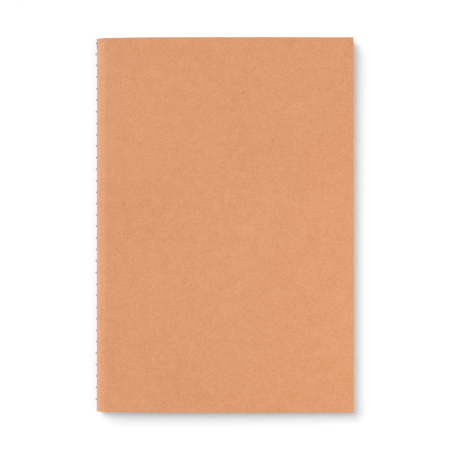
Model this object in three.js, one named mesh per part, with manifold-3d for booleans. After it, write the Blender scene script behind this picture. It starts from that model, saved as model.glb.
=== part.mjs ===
// Sketchbook: one folded card cover around nested folded sheets, machine sewn
// through the fold with two threads that lock at every needle hole.
//
// Frame, in millimetres: the origin is the centre of the back cover board's outer
// face. +Z points up out of the closed book, +X towards the fore-edge and
// +Y towards the head. The book lies closed on its back cover.
//
// All pieces sit in a group on the shoulder line, which runs along Y at half the
// book's thickness, near the spine. X and Z below are measured from this line.
// Every sheet and the cover bend around it in a faceted half ellipse, and an
// "offset" is a face's distance above or below the core that all bends surround.

import * as THREE from 'three';
import { mergeGeometries, mergeVertices } from 'three/addons/utils/BufferGeometryUtils.js';
import Module from 'manifold-3d';

const wasm = await Module();
wasm.setup();

// ---------------------------------------------------------------- dimensions
const BOOK_HEIGHT = 210;        // head to tail, along Y
const BOOK_WIDTH = 144;         // back of the spine to the fore-edge, along X

const SHEETS = 16;              // nested folded sheets, each makes two leaves
const PAPER = 0.155;            // paper thickness
const GAP = 0.025;              // air between neighbouring sheets
const CARD = 0.38;              // cover card thickness
const FIRST_OFFSET = 0.02;      // offset of the centre sheet's inner face

const CORE_X = 0.21;            // the core's reach behind the shoulder line
const CORE_Z = 0.24;            // the core's half height
const BEND_ASPECT = 1.65;       // a bend reaches this much further back than up
const FACET_NORMALS = [90, 108, 130, 155, 180, 205, 230, 252, 270];   // degrees, +X to +Z

const FOLD_END = 0.77;          // a fold piece ends here, in front of the shoulder line
const BOARD_START = 0.80;       // a leaf or cover board starts here

const HOLES = 32;               // needle holes along the fold
const HOLE_PITCH = 6.467;
const HEAD_TO_FIRST_HOLE = 2.5;
const HOLE_HALF_LENGTH = 0.42;  // along Y
const HOLE_HALF_HEIGHT = 0.19;  // along Z, at offset 0
const HOLE_FLARE = 0.11;        // growth of the half height per mm of offset
const CUTTER_OVERRUN = 0.05;    // hole cutter beyond each face of the bend

const THREAD_RADIUS = 0.14;
const THREAD_INSET = 0.2;       // each thread end to the head or tail
const SPINE_CLEARANCE = 0.015;  // spine to the outer thread

// ------------------------------------------------------------ derived values
const SHEET_PITCH = PAPER + GAP;
const CARD_INNER = FIRST_OFFSET + SHEETS * SHEET_PITCH;   // offset of the card's inner face
const CARD_OUTER = CARD_INNER + CARD;
const SPINE_X = -(CORE_X + BEND_ASPECT * CARD_OUTER);     // back of the spine
const FORE_EDGE = BOOK_WIDTH + SPINE_X;
const BOARD_CENTRE_X = (BOARD_START + FORE_EDGE) / 2;
const HALF_THICKNESS = CORE_Z + CARD_OUTER;
const OUTER_THREAD_X = SPINE_X - SPINE_CLEARANCE - THREAD_RADIUS;
const HEAD_Y = BOOK_HEIGHT / 2;
const HOLE_YS = Array.from(
  { length: HOLES },
  (_, i) => HEAD_Y - HEAD_TO_FIRST_HOLE - i * HOLE_PITCH,
);

// ----------------------------------------------------------------- materials
const kraft = new THREE.MeshStandardMaterial({ color: 0xde9e73, roughness: 0.88, metalness: 0 });
const paper = new THREE.MeshStandardMaterial({ color: 0xf3eee0, roughness: 0.9, metalness: 0 });
const thread = new THREE.MeshStandardMaterial({ color: 0x8c664b, roughness: 0.8, metalness: 0 });

// ------------------------------------------------------------------- helpers
const WELD_TOLERANCE = 1e-5;

// Normals and UVs go first, so that vertices are welded by position alone.
function toManifold(geometry) {
  geometry.deleteAttribute('normal');
  geometry.deleteAttribute('uv');
  const welded = mergeVertices(geometry, WELD_TOLERANCE);
  return new wasm.Manifold(new wasm.Mesh({
    numProp: 3,
    vertProperties: Float32Array.from(welded.attributes.position.array),
    triVerts: Uint32Array.from(welded.index.array),
  }));
}

// The solid's vertices carry x, y and z only.
function toGeometry(solid) {
  const { vertProperties, triVerts } = solid.getMesh();
  const geometry = new THREE.BufferGeometry();
  const positions = new Float32Array(vertProperties);
  geometry.setAttribute('position', new THREE.BufferAttribute(positions, 3));
  geometry.setIndex(new THREE.BufferAttribute(Uint32Array.from(triVerts), 1));
  geometry.computeVertexNormals();
  return geometry;
}

function addMesh(parent, name, geometry, material) {
  const mesh = new THREE.Mesh(geometry, material);
  mesh.name = name;
  parent.add(mesh);
  return mesh;
}

// ----------------------------------------------------- folded sheets and card
// One face of a bend, as [x, z] points: from above the shoulder line, around the
// back, to below it. The facets touch a half ellipse at the given offset, widened
// by the core, and are then moved in by inset.
function bendCurve(offset, inset) {
  const facets = FACET_NORMALS.map((degrees) => {
    const angle = THREE.MathUtils.degToRad(degrees);
    const cos = Math.cos(angle);
    const sin = Math.sin(angle);
    const ellipseReach = Math.hypot(BEND_ASPECT * offset * cos, offset * sin);
    const coreReach = CORE_X * Math.abs(cos) + CORE_Z * Math.abs(sin);
    return { angle, cos, sin, reach: ellipseReach + coreReach - inset };
  });
  // Neighbouring facets meet at a corner.
  const corners = facets.slice(1).map((next, i) => {
    const facet = facets[i];
    const turn = Math.sin(next.angle - facet.angle);
    return [
      (facet.reach * next.sin - next.reach * facet.sin) / turn,
      (next.reach * facet.cos - facet.reach * next.cos) / turn,
    ];
  });
  const endZ = facets[0].reach;
  return [[FOLD_END, endZ], ...corners, [FOLD_END, -endZ]];
}

// Boxes that cut the row of needle holes through the back of a bend.
function holeCutters(inner, outer) {
  const thickness = outer - inner;
  const halfHeight = HOLE_HALF_HEIGHT + HOLE_FLARE * inner;
  const centreX = -CORE_X - BEND_ASPECT * outer + thickness / 2;
  const boxes = HOLE_YS.map((y) => {
    const box = new THREE.BoxGeometry(
      thickness + 2 * CUTTER_OVERRUN,
      2 * HOLE_HALF_LENGTH,
      2 * halfHeight,
    );
    return box.translate(centreX, y, 0);
  });
  return mergeGeometries(boxes);
}

// The bent strip of a sheet or of the cover, with its row of needle holes.
function bentStrip(inner, outer) {
  const outline = [...bendCurve(outer, 0), ...bendCurve(outer, outer - inner).reverse()];
  const shape = new THREE.Shape(outline.map(([x, z]) => new THREE.Vector2(x, z)));
  shape.closePath();
  const strip = new THREE.ExtrudeGeometry(shape, {
    depth: BOOK_HEIGHT,
    bevelEnabled: false,
    steps: 1,
  });
  // Stand the outline in the XZ plane, with the strip running from head to tail.
  strip.rotateX(Math.PI / 2);
  strip.translate(0, HEAD_Y, 0);
  return toGeometry(toManifold(strip).subtract(toManifold(holeCutters(inner, outer))));
}

// A flat leaf or cover board. side is 1 above the shoulder line and -1 below it.
function addBoard(parent, name, inner, outer, side, material) {
  const box = new THREE.BoxGeometry(FORE_EDGE - BOARD_START, BOOK_HEIGHT, outer - inner);
  const mesh = addMesh(parent, name, box, material);
  mesh.position.set(BOARD_CENTRE_X, 0, side * (CORE_Z + (inner + outer) / 2));
}

// A front board, the bend and a back board, between two offsets.
function addFolded(parent, names, inner, outer, material) {
  addBoard(parent, names.front, inner, outer, 1, material);
  addMesh(parent, names.bend, bentStrip(inner, outer), material);
  addBoard(parent, names.back, inner, outer, -1, material);
}

function addCover(parent) {
  const names = { front: 'cover_front', bend: 'cover_spine', back: 'cover_back' };
  addFolded(parent, names, CARD_INNER, CARD_OUTER, kraft);
}

// Sheets are numbered from the centre sheet (01) outwards.
function addSheet(parent, number) {
  const sheet = new THREE.Group();
  parent.add(sheet);
  const name = `sheet_${String(number).padStart(2, '0')}`;
  const names = { front: `${name}_front_leaf`, bend: `${name}_fold`, back: `${name}_back_leaf` };
  const inner = FIRST_OFFSET + (number - 1) * SHEET_PITCH;
  addFolded(sheet, names, inner, inner + PAPER, paper);
}

// ------------------------------------------------------------------- threads
const OUTER_THREAD_SEGMENTS = 12;
const TUBE_SIDES = 4;           // flat sides of the inner thread

const LOOP_RADIUS = 0.31;       // inner thread's loop around the outer thread
const LOOP_DIAGONAL = LOOP_RADIUS * Math.SQRT1_2;
const LEG_OFFSET = 0.22;        // each leg of the loop to the hole's centre, along Y

// Inner thread from the fold out to the outer thread, on the head side of a hole.
// Columns: x, distance from the hole's centre towards the head, z.
const LEG_OUT = [
  [0, 0.46, 0],
  [-0.06, 0.29, 0],
  [-0.2, LEG_OFFSET, 0],
  [-1.0, LEG_OFFSET, 0],
  [OUTER_THREAD_X, LEG_OFFSET, LOOP_RADIUS],
  [OUTER_THREAD_X - LOOP_DIAGONAL, 0.12, LOOP_DIAGONAL],
];
// The way back is the same leg on the tail side, with its loop below.
const STITCH = [
  ...LEG_OUT,
  [OUTER_THREAD_X - LOOP_RADIUS, 0, 0],
  ...LEG_OUT.map(([x, y, z]) => [x, -y, -z]).reverse(),
];

// A closed tube along a polyline. Each ring's frame is carried on from the last,
// so the tube doesn't twist. The radius is to the corners.
function tubeAlong(path, radius) {
  const positions = [];
  const index = [];
  const normal = new THREE.Vector3(0, 0, 1);
  const tangent = new THREE.Vector3();
  const before = new THREE.Vector3();
  const after = new THREE.Vector3();
  const lastPoint = path.length - 1;

  path.forEach((point, i) => {
    before.subVectors(point, path[Math.max(i - 1, 0)]).normalize();
    after.subVectors(path[Math.min(i + 1, lastPoint)], point).normalize();
    tangent.addVectors(before, after).normalize();
    normal.addScaledVector(tangent, -normal.dot(tangent)).normalize();
    const across = new THREE.Vector3().crossVectors(tangent, normal);
    for (let k = 0; k < TUBE_SIDES; k++) {
      const angle = Math.PI / 4 + (2 * Math.PI * k) / TUBE_SIDES;
      const corner = point.clone()
        .addScaledVector(normal, radius * Math.cos(angle))
        .addScaledVector(across, radius * Math.sin(angle));
      positions.push(corner.x, corner.y, corner.z);
    }
  });

  for (let i = 0; i < lastPoint; i++) {
    const ring = i * TUBE_SIDES;
    const nextRing = ring + TUBE_SIDES;
    for (let k = 0; k < TUBE_SIDES; k++) {
      const n = (k + 1) % TUBE_SIDES;
      index.push(ring + k, ring + n, nextRing + n);
      index.push(ring + k, nextRing + n, nextRing + k);
    }
  }

  const lastRing = lastPoint * TUBE_SIDES;
  for (let k = 1; k < TUBE_SIDES - 1; k++) {
    index.push(0, k + 1, k);
    index.push(lastRing, lastRing + k, lastRing + k + 1);
  }

  const geometry = new THREE.BufferGeometry();
  geometry.setAttribute('position', new THREE.Float32BufferAttribute(positions, 3));
  geometry.setIndex(index);
  geometry.computeVertexNormals();
  return geometry;
}

// A straight run along the back of the spine.
function addOuterThread(parent) {
  const length = BOOK_HEIGHT - 2 * THREAD_INSET;
  const rod = new THREE.CylinderGeometry(
    THREAD_RADIUS,
    THREAD_RADIUS,
    length,
    OUTER_THREAD_SEGMENTS,
  );
  addMesh(parent, 'outer_thread', rod, thread).position.set(OUTER_THREAD_X, 0, 0);
}

// Along the inside of the centre sheet's fold from head to tail, and out through
// each needle hole, around the outer thread and back.
function addInnerThread(parent) {
  const endY = HEAD_Y - THREAD_INSET;
  const stitches = HOLE_YS.flatMap((holeY) => (
    STITCH.map(([x, y, z]) => new THREE.Vector3(x, holeY + y, z))
  ));
  const path = [new THREE.Vector3(0, endY, 0), ...stitches, new THREE.Vector3(0, -endY, 0)];
  addMesh(parent, 'inner_thread', tubeAlong(path, THREAD_RADIUS), thread);
}

// --------------------------------------------------------------------- model
const sketchbook = new THREE.Group();
const binding = new THREE.Group();           // sits on the shoulder line
binding.position.set(-BOARD_CENTRE_X, 0, HALF_THICKNESS);
sketchbook.add(binding);

addCover(binding);
for (let number = 1; number <= SHEETS; number++) {
  addSheet(binding, number);
}
addOuterThread(binding);
addInnerThread(binding);

export default sketchbook;
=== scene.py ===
"""A closed, machine-sewn sketchbook: folded kraft card cover, nested folded sheets, twisted thread.

It lies flat with the spine at low X, the fore-edge at high X, the head at high Y and the front
cover on top. Lengths are millimetres from the shoulder line, which runs along Y where the flat
leaves end and the bends begin. They become metres in the row frame when a mesh is made.
"""

import math

import bpy
import numpy as np
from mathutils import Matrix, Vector

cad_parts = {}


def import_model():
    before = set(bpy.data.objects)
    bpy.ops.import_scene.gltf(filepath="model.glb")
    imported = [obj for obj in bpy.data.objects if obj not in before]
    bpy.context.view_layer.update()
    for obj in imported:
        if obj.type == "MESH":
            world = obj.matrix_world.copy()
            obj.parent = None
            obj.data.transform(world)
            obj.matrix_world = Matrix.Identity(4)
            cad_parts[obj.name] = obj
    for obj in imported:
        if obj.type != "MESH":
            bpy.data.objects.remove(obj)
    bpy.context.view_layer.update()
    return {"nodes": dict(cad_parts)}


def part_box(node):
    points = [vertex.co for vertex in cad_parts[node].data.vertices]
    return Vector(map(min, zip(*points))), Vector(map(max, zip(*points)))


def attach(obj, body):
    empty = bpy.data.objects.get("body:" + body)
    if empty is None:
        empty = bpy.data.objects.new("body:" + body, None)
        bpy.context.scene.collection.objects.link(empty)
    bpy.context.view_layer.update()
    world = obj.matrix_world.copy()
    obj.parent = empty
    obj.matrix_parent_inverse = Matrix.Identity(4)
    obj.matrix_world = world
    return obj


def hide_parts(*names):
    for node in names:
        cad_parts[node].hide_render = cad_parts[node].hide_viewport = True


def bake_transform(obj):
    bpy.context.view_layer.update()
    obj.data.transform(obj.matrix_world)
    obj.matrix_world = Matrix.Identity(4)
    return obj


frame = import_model()

MM = 1000.0  # millimetres in a metre


def span(node):
    """The low and high corners of a node's box, in millimetres of the row frame."""
    low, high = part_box(node)
    return np.array(low) * MM, np.array(high) * MM


# ------------------------------------------------------------------ sizes
front_lo, front_hi = span("cover_front")
back_lo, _ = span("cover_back")
spine_lo, _ = span("cover_spine")
SHEETS = len([node for node in frame["nodes"] if node.endswith("_fold")])
HEIGHT = front_hi[1] - front_lo[1]  # head to tail
HALF = HEIGHT / 2
BOOK_Z = (front_hi[2] + back_lo[2]) / 2  # the shoulder line's height
CARD = front_hi[2] - front_lo[2]
PAGE = 0.13  # thinner than the motion model's sheets
THICKEST_PAGE = 0.3  # anything thicker is card

BOARD_START = 0.80  # from the shoulder line to the flat of the cover
SHOULDER_X = front_lo[0] - BOARD_START
SPINE_X = spine_lo[0] - SHOULDER_X
FORE = front_hi[0] - SHOULDER_X

# A sheet's depth is how far its outer face lies outside the core, the space inside the folds.
CORE_X, CORE_Z = 0.21, 0.24
CARD_OUT = front_hi[2] - BOOK_Z - CORE_Z  # the cover's depth
BOOK_HALF = CORE_Z + CARD_OUT  # half the closed book's thickness
SHEET_ASPECT = 1.74  # the sheets' bends fill the pointed end of the cover's bend
LIP = 0.06  # the crease's reach past the motion model's spine, before the thread presses it in
NOSE = 1.62  # exponent of the bends' rounded wedge shape; 2 would be a half ellipse

HOLES, HOLE_PITCH, FIRST_HOLE = 32, 6.467, 2.5
HOLE_Y = HALF - FIRST_HOLE - HOLE_PITCH * np.arange(HOLES)
GROOVE = 0.50  # how deep the thread presses the cover's fold
HOLE_DENT = 0.34  # extra depth at a needle hole

END_SHORT = 0.40  # how far the head and tail edges fall short at the spine
END_FADE = 17.0  # distance from the spine where that has halved
PUFF = 0.42  # rise of the front cover's middle
BOW = 0.09  # height of its random waves

THREAD_R = 0.165
HEAD_END = HALF - END_SHORT  # the head end of the fold


# ------------------------------------------------------------------ shape of the closed book
def world(points):
    """Shoulder-line millimetres to row-frame metres."""
    return (np.asarray(points, float) + np.array([SHOULDER_X, 0.0, BOOK_Z])) / MM


def smooth(share):
    share = np.clip(share, 0.0, 1.0)
    return share * share * (3 - 2 * share)


def waves(seed, count, shortest, longest):
    """A smooth random field over (x, y), about -1 to 1, with wavelengths in the given range."""
    random = np.random.default_rng(seed)
    lengths = random.uniform(shortest, longest, count)
    angles = random.uniform(0, 2 * np.pi, count)
    phases = random.uniform(0, 2 * np.pi, count)
    weights = lengths / lengths.sum()

    def field(x, y):
        total = 0.0
        for length, angle, phase, weight in zip(lengths, angles, phases, weights):
            across = x * math.cos(angle) + y * math.sin(angle)
            total = total + weight * np.sin(2 * np.pi * across / length + phase)
        return total

    return field


bow = waves(seed=11, count=7, shortest=70, longest=190)


def end_skew(x):
    """How far the trimmed head and tail edges fall short, where the pressed folds sprang back."""
    from_spine = np.maximum(x - SPINE_X, 0.0)
    return END_SHORT / (1 + (from_spine / END_FADE) ** 2.4)


def face_lift(x, y, z):
    """Gentle unevenness of the closed book: none on the table side, most on the front."""
    share = np.clip((z + BOOK_HALF) / (2 * BOOK_HALF), 0, 1)
    inside = smooth((x - 2) / 30)
    puff = PUFF * np.sin(np.pi * np.clip(x / FORE, 0, 1)) ** 1.2
    return share * inside * (BOW * bow(x, y) + puff)


def at_holes(y, width):
    """A bump of height 1 at every needle hole."""
    total = np.zeros_like(y)
    for hole in HOLE_Y:
        total = total + np.exp(-(((y - hole) / width) ** 2))
    return total


def press(x, y, z, depth_share):
    """The thread pulls the fold into a groove, and dents it a little more at each needle hole."""
    near = np.exp(-((z / 0.30) ** 2)) * (x < 0)
    dent = np.exp(-((z / 0.80) ** 2)) * (x < 0) * at_holes(y, 0.60) * HOLE_DENT
    return depth_share * (near * GROOVE + dent)


def crease(depth, thick):
    """Distance from the shoulder line back to the crease's outer face, before it is pressed in."""
    if thick > THICKEST_PAGE:
        return -SPINE_X + LIP
    return CORE_X + SHEET_ASPECT * depth + LIP * depth / CARD_OUT


def flank(y, z):
    """X of the card's outer face at height z beside the groove."""
    y, z = np.broadcast_arrays(np.asarray(y, float), np.asarray(z, float))
    reach = crease(CARD_OUT, CARD)
    x = -reach * (1 - (np.abs(z) / BOOK_HALF) ** NOSE) ** (1 / NOSE)
    return x + press(x, y, z, 1.0)


# ------------------------------------------------------------------ meshes
def outward(mesh):
    """Make every face of a closed mesh point out."""
    points = np.zeros(len(mesh.vertices) * 3, np.float32)
    mesh.vertices.foreach_get("co", points)
    points = points.reshape(-1, 3).astype(float)
    mesh.calc_loop_triangles()
    corners = np.zeros(len(mesh.loop_triangles) * 3, np.int32)
    mesh.loop_triangles.foreach_get("vertices", corners)
    corners = corners.reshape(-1, 3)
    first, second, third = (points[corners[:, i]] - points.mean(0) for i in range(3))
    if np.einsum("ij,ij->i", first, np.cross(second, third)).sum() < 0:
        mesh.flip_normals()


def make_mesh(name, verts, face_groups, attributes):
    """A smooth closed object from points and arrays of faces, one array per corner count."""
    mesh = bpy.data.meshes.new(name)
    points = world(verts)
    mesh.vertices.add(len(points))
    mesh.vertices.foreach_set("co", points.astype(np.float32).ravel())
    groups = [np.asarray(group, np.int32) for group in face_groups]
    corners = np.concatenate([group.ravel() for group in groups])
    sizes = np.concatenate([np.full(len(group), group.shape[1], np.int32) for group in groups])
    starts = np.concatenate([[0], np.cumsum(sizes)[:-1]]).astype(np.int32)
    mesh.loops.add(len(corners))
    mesh.loops.foreach_set("vertex_index", corners)
    mesh.polygons.add(len(sizes))
    mesh.polygons.foreach_set("loop_start", starts)
    mesh.polygons.foreach_set("use_smooth", np.ones(len(sizes), bool))
    mesh.update(calc_edges=True)
    mesh.validate()
    for key, value in attributes.items():
        value = np.asarray(value, np.float32)
        if value.ndim == 2:
            layer = mesh.attributes.new(key, "FLOAT_VECTOR", "POINT")
            layer.data.foreach_set("vector", value.ravel())
        else:
            mesh.attributes.new(key, "FLOAT", "POINT").data.foreach_set("value", value)
    outward(mesh)
    piece = bpy.data.objects.new(name, mesh)
    bpy.context.scene.collection.objects.link(piece)
    return piece


def soften_edges(grid, pull):
    """Pull the head, tail and fore-edge lines of a face in a little."""
    every = slice(None)
    for line, inner in (
        ((every, 0), (every, 1)),
        ((every, -1), (every, -2)),
        ((-1, every), (-2, every)),
    ):
        step = grid[inner] - grid[line]
        length = np.linalg.norm(step, axis=-1, keepdims=True)
        grid[line] = grid[line] + step / np.maximum(length, 1e-9) * pull


def grid_mesh(name, sides, places, round_edge):
    """A closed thin sheet from its outer and inner grids of points, joined around all four edges.
    places holds each grid's texture coordinates."""
    across, along = sides[0].shape[:2]
    ring = (
        [(i, 0) for i in range(across)]
        + [(across - 1, j) for j in range(1, along)]
        + [(i, along - 1) for i in range(across - 2, -1, -1)]
        + [(0, j) for j in range(along - 2, 0, -1)]
    )
    ring_i, ring_j = np.array(ring).T
    # The middle of the cut edge keeps its place when the faces' edges are softened.
    middle = (sides[0][ring_i, ring_j] + sides[1][ring_i, ring_j]) / 2
    middle_place = (places[0][ring_i, ring_j] + places[1][ring_i, ring_j]) / 2
    if round_edge:
        for grid in sides:
            soften_edges(grid, round_edge)
    verts = np.concatenate([sides[0].reshape(-1, 3), sides[1].reshape(-1, 3), middle])
    place = np.concatenate([places[0].reshape(-1, 3), places[1].reshape(-1, 3), middle_place])

    count = across * along
    index = np.arange(count).reshape(across, along)
    cell = [index[:-1, :-1], index[1:, :-1], index[1:, 1:], index[:-1, 1:]]
    outer = np.stack(cell, -1).reshape(-1, 4)
    inner = np.stack([cell[0], cell[3], cell[2], cell[1]], -1).reshape(-1, 4) + count
    rim = index[ring_i, ring_j]
    mid = 2 * count + np.arange(len(ring))
    after = np.roll(np.arange(len(ring)), -1)
    upper = np.stack([rim, mid, mid[after], rim[after]], -1)
    lower = np.stack([mid, rim + count, rim[after] + count, mid[after]], -1)
    edge = np.zeros(len(verts), np.float32)
    edge[2 * count :] = 1.0
    faces = np.concatenate([outer, inner, upper, lower])
    return make_mesh(name, verts, [faces], {"mm": place, "edge": edge})


# ------------------------------------------------------------------ bent sheets
def centre_line(reach, rise, far, fore, bend_steps, board_steps):
    """X and Z of a half sheet's middle, from the crease around the bend to the fore-edge.
    It leaves the bend at height rise and settles to height far."""
    angle = np.linspace(0, 1, bend_steps) ** 1.15 * math.pi / 2
    power = 2 / NOSE
    bend_x = -reach * np.cos(angle) ** power
    bend_z = rise * np.sin(angle) ** power
    bend_x[-1] = 0.0
    flat_x = fore * np.linspace(0, 1, board_steps + 1)[1:] ** 1.35
    flat_z = rise + (far - rise) * smooth((flat_x - BOARD_START) / 24)
    return np.concatenate([bend_x, flat_x]), np.concatenate([bend_z, flat_z])


def half_sheet(
    name, side, depth, thick, far, seed, rows, bend_steps, board_steps, round_edge, ragged, trim=0.0
):
    """One half of a folded sheet, from the crease at the back of the fold to the fore-edge.
    side is 1 for the front half and -1 for the back half. far is the leaf's height over the
    shoulder line away from the spine. ragged is the fore-edge's roughness."""
    half_thick = thick / 2
    reach = crease(depth, thick) - half_thick
    rise = CORE_Z + depth - half_thick
    mid_x, mid_z = centre_line(reach, rise, far, FORE + trim, bend_steps, board_steps)
    # Unit normal of the centre line, pointing away from the middle of the book.
    slope_x, slope_z = np.gradient(mid_x), np.gradient(mid_z)
    slope_x[0], slope_z[0] = 0.0, 1.0
    slope_x[-1], slope_z[-1] = 1.0, 0.0
    length = np.hypot(slope_x, slope_z)
    normal_x, normal_z = -slope_z / length, slope_x / length
    along = np.concatenate([[0], np.cumsum(np.hypot(np.diff(mid_x), np.diff(mid_z)))])
    # Only the first of each row's three draws is used.
    rag = np.random.default_rng(seed).normal(0, 1, (len(rows), 3))[:, 0] * ragged
    row_zeros = np.zeros(len(rows))[None, :]
    sides, places = [], []
    for sign, layer in ((1, 10.0), (-1, 60.0)):  # the outer face, then the inner
        x = (mid_x + sign * half_thick * normal_x)[:, None] + row_zeros
        z = (mid_z + sign * half_thick * normal_z)[:, None] + row_zeros
        y = rows[None, :] * np.ones_like(x)
        y = y - end_skew(x) * np.sign(y) * smooth((np.abs(y) / HALF - 0.85) / 0.15)
        z = z * side
        x = x + press(x, y, z, depth / CARD_OUT)
        x[-1, :] += rag
        z = z + face_lift(x, y, z)
        sides.append(np.stack([x, y, z], -1))
        place = ((side * along)[:, None], rows[None, :], layer + seed % 97)
        places.append(np.stack(np.broadcast_arrays(*place), -1))
    piece = grid_mesh(name, sides, places, round_edge)
    piece.data.set_sharp_from_angle(angle=math.radians(50))
    return piece


def add_half(name, side, depth, thick, body, nodes, slot, **shape):
    """Build a half sheet and hide the model parts that it stands in for."""
    piece = half_sheet(name, side, depth, thick, **shape)
    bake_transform(piece)
    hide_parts(*nodes)
    return piece


def rows_along(step, hole_offsets):
    """Positions along Y: even rows, with a set of closer ones around every needle hole."""
    even = np.linspace(-HALF, HALF, int(round(HEIGHT / step)) + 1)
    kept = [y for y in even if np.min(np.abs(HOLE_Y - y)) > 1.6 or abs(abs(y) - HALF) < 1e-6]
    kept += [hole + offset for hole in HOLE_Y for offset in hole_offsets]
    return np.array(sorted(y for y in kept if -HALF <= y <= HALF))


def build_cover():
    rows = rows_along(2.2, (-1.3, -0.8, -0.5, -0.25, 0, 0.25, 0.5, 0.8, 1.3))
    return [
        add_half(
            f"card_{label}",
            side,
            depth=CARD_OUT,
            thick=CARD,
            body=f"{label}_cover",
            nodes=(f"cover_{label}", "cover_spine"),
            slot="kraft_cover",
            far=BOOK_HALF - CARD / 2,
            seed=7 + side,
            rows=rows,
            bend_steps=26,
            board_steps=30,
            round_edge=0.05,
            ragged=0.012,
        )
        for side, label in ((1, "front"), (-1, "back"))
    ]


def build_leaves():
    """Both halves of every sheet, from the centre sheet outwards."""
    rows = rows_along(3.2, (-0.8, 0, 0.8))
    random = np.random.default_rng(1457)
    pitch = (BOOK_HALF - CARD - 0.012) / SHEETS  # the closed stack just clears the cover
    leaves = []
    for k in range(SHEETS):
        sheet = f"sheet_{k + 1:02d}"
        low, high = span(sheet + "_front_leaf")
        depth = high[2] - BOOK_Z - CORE_Z
        depth = depth - (high[2] - low[2] - PAGE) / 2
        for side, label in ((1, "front"), (-1, "back")):
            leaf = add_half(
                f"page_{k + 1:02d}_{label}",
                side,
                depth=depth,
                thick=PAGE,
                body=f"{sheet}_{label}",
                nodes=(f"{sheet}_{label}_leaf", f"{sheet}_fold"),
                slot="page_paper",
                far=(k + 0.5) * pitch,
                seed=100 + 2 * k + (side > 0),
                rows=rows,
                bend_steps=16,
                board_steps=22,
                round_edge=0.0,
                ragged=0.006,
                trim=float(random.uniform(-0.07, 0.05)),
            )
            leaves.append(leaf)
    return leaves


# ------------------------------------------------------------------ twisted thread
PLIES, PLY_SIDES = 3, 7
TWIST_PITCH = 1.05
THREAD_STEP = 0.13
PLY_SHARE, LAY_SHARE = 0.54, 0.47  # a ply's radius and its distance from the centre, of THREAD_R
PLY_SHIFT, PATH_SHIFT = 5.0, 1.7  # set plies and paths apart in the texture


def thread_path(x, y, z, flat=1.0, grow=1.0):
    """A path's columns: x, y, z, thickness along X as a share of round, and radius scale."""
    return np.stack(np.broadcast_arrays(x, y, z, flat, grow), -1)


def resample(path, step):
    """The path at even steps, and the distance along it of each point."""
    lengths = np.linalg.norm(np.diff(path[:, :3], axis=0), axis=1)
    old = np.concatenate([[0], np.cumsum(lengths)])
    new = np.linspace(0, old[-1], max(int(old[-1] / step), 8) + 1)
    return np.stack([np.interp(new, old, column) for column in path.T], -1), new


def cross_axes(tangents):
    """Two unit vectors across the path at each point, carried along it without twisting."""
    axis = np.cross(tangents[0], [0.3, 0.1, 1.0])
    axis /= np.linalg.norm(axis)
    first, second = [], []
    for tangent in tangents:
        axis = axis - tangent * (axis @ tangent)
        axis = axis / np.linalg.norm(axis)
        first.append(axis)
        second.append(np.cross(tangent, axis))
    return np.array(first), np.array(second)


def plied_thread(name, paths):
    """Twisted thread along each path: plies wound around it, each a closed tube with pointed ends."""
    verts, places, quads, tris = [], [], [], []
    base = 0
    for number, path in enumerate(paths):
        points, along = resample(path, THREAD_STEP)
        centre, flat, grow = points[:, :3], points[:, 3], points[:, 4]
        ply_radius, lay_radius = PLY_SHARE * THREAD_R * grow, LAY_SHARE * THREAD_R * grow
        tangents = np.gradient(centre, axis=0)
        tangents /= np.linalg.norm(tangents, axis=1, keepdims=True)
        first, second = cross_axes(tangents)

        def around(angle, radius):
            turn = np.cos(angle)[:, None] * first + np.sin(angle)[:, None] * second
            return radius[:, None] * turn

        count = len(centre)
        shift = number * PATH_SHIFT
        for ply in range(PLIES):
            phase = 2 * np.pi * (ply / PLIES + along / TWIST_PITCH) + number * 1.3
            lay = around(phase, lay_radius)
            rings = []
            for j in range(PLY_SIDES):
                offset = lay + around(2 * np.pi * j / PLY_SIDES + phase * 0.6, ply_radius)
                offset[:, 0] *= flat
                rings.append(centre + offset)
                place = (along, ply * PLY_SHIFT + j / PLY_SIDES, shift)
                places.append(np.stack(np.broadcast_arrays(*place), -1))
            rings = np.array(rings)
            verts.append(rings.reshape(-1, 3))
            point = tangents[[0, -1]] * np.array([[-0.6], [0.6]]) * ply_radius[[0, -1], None]
            verts.append(rings[:, [0, -1]].mean(0) + point)
            places.append(np.array([[along[end], ply * PLY_SHIFT, shift] for end in (0, -1)]))
            grid = base + np.arange(PLY_SIDES * count).reshape(PLY_SIDES, count)
            start_tip = base + PLY_SIDES * count
            end_tip = start_tip + 1
            for j in range(PLY_SIDES):
                this, after = grid[j], grid[(j + 1) % PLY_SIDES]
                quads.append(np.stack([this[:-1], after[:-1], after[1:], this[1:]], -1))
                tris.append([[after[0], this[0], start_tip], [this[-1], after[-1], end_tip]])
            base = end_tip + 1
    faces = [np.concatenate(quads), np.concatenate(tris)]
    return make_mesh(name, np.concatenate(verts), faces, {"mm": np.concatenate(places)})


# ------------------------------------------------------------------ seam
# Knots, one per hole from the head.
stitch_random = np.random.default_rng(83)
knot_off = stitch_random.uniform(0.38, 0.72, HOLES)  # how far it stands off the spine
knot_long = stitch_random.uniform(0.42, 0.64, HOLES)  # half length along Y
knot_shift = stitch_random.uniform(-0.2, 0.2, HOLES)  # place along Y from its hole
knot_lean = stitch_random.uniform(0.08, 0.17, HOLES)  # slant
knot_lean = knot_lean * np.where(stitch_random.random(HOLES) < 0.85, 1, -1)
knot_side = stitch_random.uniform(0.12, 0.45, HOLES)  # how far towards the front of the fold
knot_off[1], knot_long[1] = 0.92, 0.6
knot_off[0] = 0.5

SEAM_STEP = 0.16
RUN = SPINE_X + 0.46 + 0.6 * THREAD_R  # X of the outer thread, pressed flat in the groove
LOOP_ROOT = SPINE_X + 0.75  # X of the loops' ends, inside the fold


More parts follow.
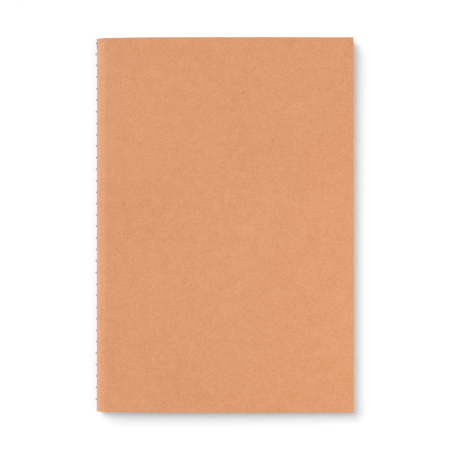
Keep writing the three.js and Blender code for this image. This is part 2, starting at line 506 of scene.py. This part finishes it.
def outer_path():
    """In the groove at the back of the spine, lifted out of it under every knot."""
    y = np.arange(HEAD_END - 0.25, -HEAD_END + 0.3, -SEAM_STEP)
    rise = np.zeros_like(y)
    for hole, off, long, shift in zip(HOLE_Y, knot_off, knot_long, knot_shift):
        rise = np.maximum(rise, (off + 0.20) * np.exp(-(((y - hole - shift) / long) ** 2)))
    z = 0.035 * np.sin(y * 2 * np.pi / (2 * HOLE_PITCH) + 0.4) + 0.02 * np.sin(y * 1.13)
    pulls = [
        side * np.exp(-(((y - hole - shift) / 1.1) ** 2))
        for side, hole, shift in zip(knot_side, HOLE_Y, knot_shift)
    ]
    z = z + np.max(pulls, axis=0)
    # The end lies over the front edge of the fold at the head.
    end = smooth((y - HOLE_Y[0] - 0.5) / 1.1)
    z = z + 0.62 * end
    x = (RUN - rise) * (1 - end) + (flank(y, z) - 0.7 * THREAD_R) * end
    flat = 0.6 + 0.4 * np.maximum(np.clip(rise / 0.3, 0, 1), end)
    return thread_path(x, y, z, flat)


def valley_path():
    """Along the valley of the centre sheet, dipping into every hole."""
    _, high = span("sheet_01_front_leaf")
    depth = high[2] - BOOK_Z - CORE_Z
    valley = -crease(depth, PAGE) + PAGE + 0.03 + THREAD_R * 0.8
    y = np.arange(HEAD_END - 0.45, -HEAD_END + 0.45, -SEAM_STEP)
    return thread_path(valley - 0.22 * at_holes(y, 0.42), y, 0.03 * np.sin(y * 0.9), flat=0.8)


def loop_path(i):
    """Around the outer thread at the back of hole i."""
    turn = np.linspace(-1, 1, 33)
    crest = SPINE_X - knot_off[i] + THREAD_R
    x = LOOP_ROOT + (crest - LOOP_ROOT) * (1 - np.abs(turn) ** 3.2)
    along = np.sign(turn) * np.abs(turn) ** 0.9
    y = HOLE_Y[i] + knot_shift[i] - knot_long[i] * 0.72 * along
    z = knot_lean[i] * np.sin(turn * 1.9) + 0.02 + knot_side[i]
    return thread_path(x, y, z, grow=1.05)


def loose_end_path():
    """The loose end at the start of the seam, along the front edge of the fold."""
    share = np.linspace(0, 1, 28)
    y = HOLE_Y[0] + 0.2 - 3.6 * share
    z = 0.15 + 0.72 * smooth(share * 1.6)
    x = flank(y, z) - 0.75 * THREAD_R
    x[0] += 0.5  # it starts inside the fold
    return thread_path(x, y, z, grow=0.95 - 0.25 * share**4)


def build_threads():
    inner_paths = [valley_path(), *(loop_path(i) for i in range(HOLES)), loose_end_path()]
    threads = []
    for label, paths in (("outer", [outer_path()]), ("inner", inner_paths)):
        piece = plied_thread(f"thread_{label}", paths)
        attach(piece, "spine")
        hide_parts(f"{label}_thread")
        threads.append(piece)
    return threads


cover_halves = build_cover()
leaves = build_leaves()
threads = build_threads()


# ------------------------------------------------------------------ materials
class Shader:
    """A material around one Principled surface. Most methods add a node and return its output."""

    def __init__(self, name):
        self.material = bpy.data.materials.new(name)
        self.material.use_nodes = True
        self.tree = self.material.node_tree
        self.tree.nodes.clear()
        output = self.node("OutputMaterial")
        self.principled = self.node("BsdfPrincipled")
        self.put(output.inputs[0], self.principled.outputs[0])

    def node(self, kind):
        return self.tree.nodes.new("ShaderNode" + kind)

    def put(self, socket, value):
        """Link an output to the socket, or set a plain value."""
        if hasattr(value, "is_output"):
            self.tree.links.new(value, socket)
        else:
            socket.default_value = value

    def fill(self, node, inputs):
        for key, value in inputs.items():
            self.put(node.inputs[key], value)

    def surface(self, inputs):
        """Set the surface's inputs and return the finished material."""
        self.fill(self.principled, inputs)
        return self.material

    def attribute(self, name, output="Vector"):
        node = self.node("Attribute")
        node.attribute_name = name
        return node.outputs[output]

    def math(self, operation, first, second=0.0):
        node = self.node("Math")
        node.operation = operation
        self.fill(node, {0: first, 1: second})
        return node.outputs[0]

    def swing(self, value, weight):
        """A 0 to 1 pattern centred on zero and weighted."""
        return self.math("MULTIPLY", self.math("SUBTRACT", value, 0.5), weight)

    def vector(self, operation, first, second):
        node = self.node("VectorMath")
        node.operation = operation
        self.fill(node, {0: first, 1: second})
        return node.outputs[0]

    def scaled(self, vector, amount):
        node = self.node("VectorMath")
        node.operation = "SCALE"
        self.fill(node, {0: vector, "Scale": amount})
        return node.outputs[0]

    def tinted(self, colour, tint, amount):
        return self.vector("ADD", colour, self.scaled(tint, amount))

    def noise(self, vector, scale, detail=2.0, roughness=0.5):
        node = self.node("TexNoise")
        inputs = {"Vector": vector, "Scale": scale, "Detail": detail, "Roughness": roughness}
        self.fill(node, inputs)
        return node.outputs["Fac"]

    def cells(self, vector, scale, dimensions="3D"):
        """Distance to the nearest cell's point, and three random values for that cell."""
        node = self.node("TexVoronoi")
        node.voronoi_dimensions = dimensions
        self.fill(node, {"Vector": vector, "Scale": scale})
        split = self.node("SeparateColor")
        self.put(split.inputs[0], node.outputs["Color"])
        return node.outputs["Distance"], split.outputs

    def ramp(self, value, low, high, out_low=0.0, out_high=1.0):
        node = self.node("MapRange")
        node.interpolation_type = "SMOOTHSTEP"
        limits = {"From Min": low, "From Max": high, "To Min": out_low, "To Max": out_high}
        self.fill(node, {"Value": value, **limits})
        return node.outputs["Result"]

    def mix(self, factor, first, second):
        node = self.node("Mix")
        node.data_type = "RGBA"
        self.fill(node, {0: factor, 6: first, 7: second})
        return node.outputs[2]

    def bump(self, height, strength, distance):
        """distance is in metres."""
        node = self.node("Bump")
        self.fill(node, {"Strength": strength, "Distance": distance, "Height": height})
        return node.outputs[0]

    def fibres(self, vector, families):
        """Short straight fibres, 0 to 1: cells of stretched patterns, only some of them filled."""
        total = None
        for seed, angle, length, width, density in families:
            mapping = self.node("Mapping")
            mapping.vector_type = "TEXTURE"
            inputs = {
                "Vector": vector,
                "Location": (seed * 3.1, seed * 1.7, 0),
                "Rotation": (0, 0, angle),
                "Scale": (length, width, 1),
            }
            self.fill(mapping, inputs)
            distance, random = self.cells(mapping.outputs[0], scale=1.0)
            near = self.ramp(distance, low=0.16, high=0.34, out_low=1.0, out_high=0.0)
            keep = self.math("GREATER_THAN", random[0], 1 - density)
            family = self.math("MULTIPLY", near, keep)
            total = family if total is None else self.math("MAXIMUM", total, family)
        return total


def rgb(red, green, blue):
    return (red, green, blue, 1.0)


# Fibre families: seed, angle in radians, length, width, share of cells filled.
PALE_FIBRES = (
    (1, 0.3, 1.9, 0.10, 0.30),
    (2, 1.2, 1.5, 0.09, 0.26),
    (3, 2.1, 2.1, 0.11, 0.30),
    (4, 2.8, 1.3, 0.09, 0.24),
)
DARK_FIBRES = (
    (11, 0.8, 1.5, 0.10, 0.16),
    (12, 1.7, 1.9, 0.11, 0.14),
    (13, 2.5, 1.2, 0.12, 0.12),
)
PAPER_FIBRES = (
    (3, 0.5, 1.9, 0.09, 0.10),
    (5, 1.9, 1.6, 0.08, 0.10),
)
KRAFT_BASE = (0.627, 0.2668, 0.1127)
TONE_GAIN = (1.12, 1.76, 3.2)  # pale fibres and dark resin change the blue more than the red


def bark_specks(shader, vector):
    """Small dark specks of bark, with how much each one darkens the card."""
    distance, random = shader.cells(vector, scale=0.42, dimensions="2D")
    size = shader.math("ADD", shader.math("MULTIPLY", random[1], 0.09), 0.045)
    dot = shader.math("LESS_THAN", distance, size)
    some = shader.math("GREATER_THAN", random[0], 0.78)
    speck = shader.math("MULTIPLY", dot, some)
    few_strong = shader.math("MULTIPLY", shader.math("POWER", random[2], 14.0), 0.27)
    return shader.math("MULTIPLY", speck, shader.math("ADD", few_strong, 0.07))


def kraft():
    shader = Shader("kraft_card")
    place = shader.attribute("mm")
    edge = shader.attribute("edge", "Fac")
    # Bent coordinates make the fibres curl.
    bend = shader.vector("SUBTRACT", shader.noise(place, scale=0.9), (0.5, 0.5, 0.5))
    curled = shader.tinted(place, bend, 0.8)
    clouds = shader.noise(place, scale=0.018, detail=3.0)
    patch = shader.noise(place, scale=0.16, detail=3.0, roughness=0.55)
    grain = shader.noise(place, scale=0.85, detail=3.0, roughness=0.52)
    fine = shader.noise(place, scale=3.4, detail=3.0, roughness=0.65)
    pale = shader.fibres(curled, PALE_FIBRES)
    dark = shader.fibres(curled, DARK_FIBRES)

    # Tone: how much lighter or darker than the base colour.
    tone = shader.swing(clouds, weight=0.08)
    for pattern, weight in ((patch, 0.10), (grain, 0.24), (fine, 0.05)):
        tone = shader.math("ADD", tone, shader.swing(pattern, weight))
    tone = shader.math("ADD", tone, shader.math("MULTIPLY", pale, 0.05))
    tone = shader.math("SUBTRACT", tone, shader.math("MULTIPLY", dark, 0.105))
    tone = shader.math("SUBTRACT", tone, bark_specks(shader, curled))
    push = tuple(base * gain for base, gain in zip(KRAFT_BASE, TONE_GAIN))
    colour = shader.vector("ADD", shader.scaled(push, tone), KRAFT_BASE)
    # The pale fibres are less brown than the rest.
    colour = shader.tinted(colour, (0.020, 0.034, 0.027), pale)

    # The bend is painted paler: partly wear rubbed in by handling, partly a painted highlight where
    # the rounded bend turns towards the key light. The card beside it is painted less red and a
    # little bluer, which shapes the colour of that painted highlight.
    axes = shader.node("SeparateXYZ")
    shader.put(axes.inputs[0], place)
    from_fold = shader.math("ABSOLUTE", axes.outputs[0])

    def near_fold(full, gone):
        return shader.ramp(from_fold, low=full, high=gone, out_low=1.0, out_high=0.0)

    uneven = shader.ramp(grain, low=0.2, high=0.8, out_low=0.7, out_high=1.0)
    # Paler along the bend: rubbed wear and a painted highlight.
    worn_and_highlight = shader.math("MULTIPLY", near_fold(full=1.6, gone=4.0), uneven)
    for tint, amount in (
        ((0.038, 0.043, 0.041), worn_and_highlight),
        ((-0.040, -0.012, -0.005), near_fold(full=2.4, gone=7.4)),
        ((0.0, 0.007, 0.013), near_fold(full=3.0, gone=13.0)),
    ):
        colour = shader.tinted(colour, tint, amount)
    # The cut edge is paler.
    cut_noise = shader.noise(place, scale=5.0)
    cut = shader.mix(cut_noise, rgb(0.56, 0.25, 0.115), rgb(0.66, 0.34, 0.18))

    height = shader.math("MULTIPLY", grain, 0.8)
    for pattern, weight in ((fine, 0.6), (pale, 0.35), (dark, 0.25)):
        height = shader.math("ADD", height, shader.math("MULTIPLY", pattern, weight))
    return shader.surface({
        "Base Color": shader.mix(edge, colour, cut),
        "Roughness": shader.ramp(fine, low=0.3, high=0.7, out_low=0.56, out_high=0.70),
        "Specular IOR Level": 0.5,
        "Normal": shader.bump(height, strength=0.15, distance=0.00006),
    })


def paper():
    shader = Shader("drawing_paper")
    place = shader.attribute("mm")
    edge = shader.attribute("edge", "Fac")
    clouds = shader.noise(place, scale=0.05, detail=3.0)
    tooth = shader.noise(place, scale=2.6, detail=3.0, roughness=0.6)
    fine = shader.noise(place, scale=7.0, roughness=0.6)
    tone = shader.math("ADD", 1.0, shader.swing(clouds, weight=0.03))
    tone = shader.math("ADD", tone, shader.swing(tooth, weight=0.035))
    fibres = shader.fibres(place, PAPER_FIBRES)
    tone = shader.math("SUBTRACT", tone, shader.math("MULTIPLY", fibres, 0.03))
    sheet = shader.mix(clouds, rgb(0.845, 0.805, 0.705), rgb(0.865, 0.830, 0.740))
    # The cut edge is mottled.
    cut_noise = shader.noise(place, scale=1.4)
    cut = shader.mix(cut_noise, rgb(0.74, 0.695, 0.59), rgb(0.86, 0.82, 0.725))
    cut_share = shader.math("MULTIPLY", edge, 0.75)
    height = shader.math("MULTIPLY", tooth, 0.8)
    height = shader.math("ADD", height, shader.math("MULTIPLY", fine, 0.4))
    return shader.surface({
        "Base Color": shader.mix(cut_share, shader.scaled(sheet, tone), cut),
        "Roughness": shader.ramp(tooth, low=0.3, high=0.7, out_low=0.86, out_high=0.96),
        "Specular IOR Level": 0.2,
        "Normal": shader.bump(height, strength=0.3, distance=0.00005),
    })


def cord():
    shader = Shader("sewing_cord")
    place = shader.attribute("mm")
    # Fine filaments running along each ply.
    stretch = shader.node("Mapping")
    shader.fill(stretch, {"Vector": place, "Scale": (1.2, 14.0, 1.0)})
    hair = shader.noise(stretch.outputs[0], scale=1.0, detail=3.0, roughness=0.6)
    blotch = shader.noise(place, scale=0.35)
    tone = shader.math("ADD", 0.82, shader.math("MULTIPLY", hair, 0.36))
    brown = shader.mix(blotch, rgb(0.300, 0.108, 0.028), rgb(0.430, 0.168, 0.050))
    return shader.surface({
        "Base Color": shader.scaled(brown, tone),
        "Roughness": shader.ramp(hair, low=0.3, high=0.7, out_low=0.62, out_high=0.85),
        "Sheen Weight": 0.08,
        "Specular IOR Level": 0.3,
        "Normal": shader.bump(hair, strength=0.5, distance=0.00003),
    })


def floor_white():
    shader = Shader("floor_white")
    tint = shader.noise(shader.node("TexCoord").outputs["Object"], scale=30.0)
    return shader.surface({
        "Base Color": shader.mix(tint, rgb(0.925, 0.925, 0.925), rgb(0.935, 0.935, 0.935)),
        "Roughness": 0.9,
        "Specular IOR Level": 0.0,
    })


for pieces, material in ((cover_halves, kraft()), (leaves, paper()), (threads, cord())):
    for piece in pieces:
        piece.data.materials.append(material)

# ------------------------------------------------------------------ floor, light, camera, in metres
scene = bpy.context.scene
FLOOR_HALF, FLOOR_Z = 3.0, -0.00008


def add_floor():
    mesh = bpy.data.meshes.new("floor")
    signs = ((-1, -1), (1, -1), (1, 1), (-1, 1))
    corners = [(x * FLOOR_HALF, y * FLOOR_HALF, FLOOR_Z) for x, y in signs]
    mesh.from_pydata(corners, [], [(0, 1, 2, 3)])
    floor = bpy.data.objects.new("floor", mesh)
    scene.collection.objects.link(floor)
    mesh.materials.append(floor_white())


def add_world():
    """A soft sky lights the book, while the camera sees plain white behind the floor."""
    sky = bpy.data.worlds.new("studio")
    scene.world = sky
    sky.use_nodes = True
    nodes, links = sky.node_tree.nodes, sky.node_tree.links
    light = nodes["Background"]
    backdrop = nodes.new("ShaderNodeBackground")
    for background, colour, strength in (
        (light, (0.985, 1.0, 1.05, 1), 0.475),
        (backdrop, (1, 1, 1, 1), 1.0),
    ):
        background.inputs[0].default_value = colour
        background.inputs[1].default_value = strength
    rays = nodes.new("ShaderNodeLightPath")
    either = nodes.new("ShaderNodeMixShader")
    links.new(rays.outputs["Is Camera Ray"], either.inputs[0])
    links.new(light.outputs[0], either.inputs[1])
    links.new(backdrop.outputs[0], either.inputs[2])
    links.new(either.outputs[0], nodes["World Output"].inputs[0])


def add_light(name, kind, energy, source, location=(0, 0, 0), **settings):
    """source is the direction the light comes from."""
    data = bpy.data.lights.new(name, kind)
    data.energy = energy
    for key, value in settings.items():
        setattr(data, key, value)
    lamp = bpy.data.objects.new(name, data)
    lamp.location = location
    lamp.rotation_mode = "QUATERNION"
    lamp.rotation_quaternion = Vector(source).to_track_quat("Z", "Y")
    scene.collection.objects.link(lamp)


def direction(azimuth, elevation):
    """A unit vector from degrees; azimuth is counted from +X towards +Y."""
    turn, lift = math.radians(azimuth), math.radians(elevation)
    flat = math.cos(lift)
    return (math.cos(turn) * flat, math.sin(turn) * flat, math.sin(lift))


def add_camera():
    """Nearly straight above the book."""
    distance = 0.500  # above the front cover
    view_width = 252.555 / MM  # seen at that distance
    tilt = math.radians(0.3)
    aim_x, aim_y = 0.70, -0.66  # millimetres from the middle of the book
    data = bpy.data.cameras.new("camera")
    camera = bpy.data.objects.new("camera", data)
    scene.collection.objects.link(camera)
    scene.camera = camera
    data.sensor_width = 36
    data.lens = 36 * distance / view_width
    data.clip_start, data.clip_end = 0.01, 10
    middle_x = (spine_lo[0] + front_hi[0]) / 2
    camera.location = (
        (middle_x + aim_x) / MM,
        aim_y / MM - distance * math.tan(tilt),
        front_hi[2] / MM + distance,
    )
    camera.rotation_euler = (tilt, 0, 0)


add_floor()
add_world()
key_source = direction(azimuth=136.5, elevation=41.8)
add_light("key", "SUN", energy=2.81, source=key_source, angle=math.radians(47))
add_light(
    "fill",
    "AREA",
    energy=0.12,
    source=(0, 0, 1),
    location=(0.17, -0.045, 0.25),
    shape="SQUARE",
    size=0.16,
)
add_camera()
scene.view_settings.view_transform = "Standard"
scene.view_settings.look = "None"
